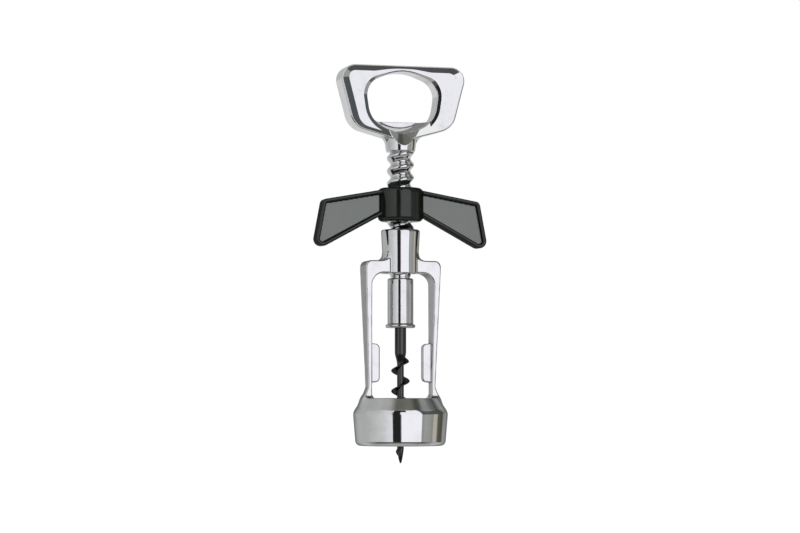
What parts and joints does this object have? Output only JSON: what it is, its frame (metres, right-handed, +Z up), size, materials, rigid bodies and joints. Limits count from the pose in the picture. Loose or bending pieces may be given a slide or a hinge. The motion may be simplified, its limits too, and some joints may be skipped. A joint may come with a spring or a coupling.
{
  "type": "bell corkscrew",
  "caption": "Chromed bell corkscrew with a threaded spindle, a black wing nut, a steel worm and a crown-cap opener cast into the handle.",
  "frame": {"origin": "centre of the ring's flat bottom rim, where the tool rests on a bottle", "axes": "+Z up along the spindle, towards the handle; +X across the handle, the arms and the wings; -Y is the front"},
  "size_m": [0.0742, 0.0396, 0.1663],
  "materials": {
    "frame_chrome": "polished chrome on a die casting",
    "handle_chrome": "polished chrome on a die casting",
    "black_plastic": "moulded black plastic, glossy rims and satin panels",
    "sleeve_chrome": "bright plated tube with fine pits",
    "washer_chrome": "bright plated washer",
    "worm_steel": "dark oiled steel"
  },
  "bodies": {
    "frame": {"bell_frame": "frame_chrome"},
    "sleeve": {"sleeve": "sleeve_chrome"},
    "spindle": {"handle_spindle": "handle_chrome", "worm": "worm_steel"},
    "washer": {"retaining_washer": "washer_chrome"},
    "nut": {"wing_nut": "black_plastic"}
  },
  "joints": [
    {"name": "spindle_slide", "type": "slide", "parent": "frame", "child": "sleeve", "axis": [0, 0, 1], "range_m": [0, 0.0212]},
    {"name": "handle_turn", "type": "hinge", "parent": "sleeve", "child": "spindle", "pos_m": [0, 0, 0.06], "axis": [0, 0, 1], "continuous": true},
    {"name": "nut_turn", "type": "hinge", "parent": "spindle", "child": "washer", "pos_m": [0, 0, 0.05], "axis": [0, 0, 1], "range_deg": [-220, 1000]},
    {"name": "nut_travel", "type": "slide", "parent": "washer", "child": "nut", "axis": [0, 0, 1], "range_m": [-0.0033, 0.0149]}
  ],
  "couplings": [
    {"joint": "nut_travel", "follows": "nut_turn", "m_per_rad": 0.00085148}
  ]
}
